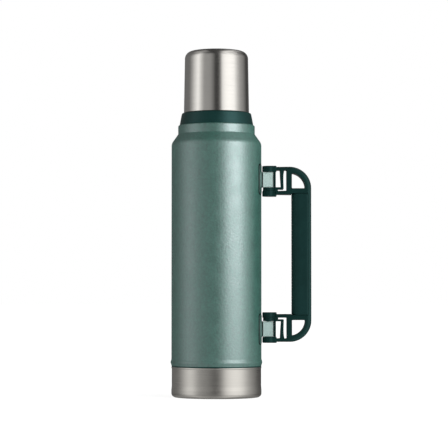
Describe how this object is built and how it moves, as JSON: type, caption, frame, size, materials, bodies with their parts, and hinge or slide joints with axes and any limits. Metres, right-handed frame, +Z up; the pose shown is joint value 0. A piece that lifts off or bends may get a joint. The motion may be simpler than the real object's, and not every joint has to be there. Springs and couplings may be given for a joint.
{
  "type": "vacuum flask",
  "caption": "Steel vacuum flask with a hammered green body and bare steel base, a screw stopper under a screw-on steel drinking cup, and a folding plastic carrying handle.",
  "frame": {"origin": "centre of the foot, on the plane the flask stands on", "axes": "+Z up along the flask's axis, +X towards the carrying handle, -Y towards the front of the object in its usual view"},
  "size_m": [0.1471, 0.096, 0.363],
  "materials": {
    "hammered_paint": "satin",
    "hammered_paint_light": "satin",
    "brushed_steel": "satin",
    "polished_steel": "polished",
    "vessel_steel": "satin",
    "plain_steel": "satin",
    "copper_foil": "gloss",
    "sealing_glass": "gloss",
    "dark_green_plastic": "satin",
    "handle_plastic": "satin",
    "grip_rubber": "matte",
    "stopper_plastic": "satin",
    "white_plastic": "satin",
    "foam": "matte",
    "silicone": "matte",
    "black_rubber": "matte"
  },
  "bodies": {
    "flask": {"outer_shell": "hammered_paint", "base_cup": "brushed_steel", "bottom_plate": "plain_steel", "vacuum_seal": "sealing_glass", "getter": "plain_steel", "inner_vessel": "vessel_steel", "vessel_bottom": "vessel_steel", "copper_foil": "copper_foil", "neck_collar": "dark_green_plastic", "collar_seal": "black_rubber", "hinge_bracket_upper": "hammered_paint_light", "hinge_bracket_lower": "hammered_paint_light", "hinge_bush_upper": "white_plastic", "hinge_bush_lower": "white_plastic"},
    "handle": {"handle_frame": "handle_plastic", "handle_grip": "grip_rubber", "hinge_pin_upper": "plain_steel", "hinge_pin_lower": "plain_steel"},
    "stopper_lift": {"stopper_gasket": "silicone"},
    "stopper": {"stopper_body": "stopper_plastic", "stopper_knob": "stopper_plastic", "stopper_foam": "foam"},
    "cup_lift": {"cup_gasket": "silicone"},
    "cup": {"cup_shell": "polished_steel", "cup_liner": "vessel_steel", "cup_thread_ring": "dark_green_plastic"}
  },
  "joints": [
    {"name": "handle_fold", "type": "hinge", "parent": "flask", "child": "handle", "pos_m": [0.055, 0, 0.1493], "axis": [0, 0, 1], "range_deg": [-90, 90]},
    {"name": "stopper_rise", "type": "slide", "parent": "flask", "child": "stopper_lift", "axis": [0, 0, 1], "range_m": [0, 0.042]},
    {"name": "stopper_turn", "type": "hinge", "parent": "stopper_lift", "child": "stopper", "pos_m": [0, 0, 0.3], "axis": [0, 0, 1], "range_deg": [0, 1008]},
    {"name": "cup_rise", "type": "slide", "parent": "stopper", "child": "cup_lift", "axis": [0, 0, 1], "range_m": [0, 0.045]},
    {"name": "cup_turn", "type": "hinge", "parent": "cup_lift", "child": "cup", "pos_m": [0, 0, 0.3], "axis": [0, 0, 1], "range_deg": [0, 1080]}
  ],
  "couplings": [
    {"joint": "stopper_rise", "follows": "stopper_turn", "m_per_rad": 0.0023873},
    {"joint": "cup_rise", "follows": "cup_turn", "m_per_rad": 0.0023873}
  ]
}
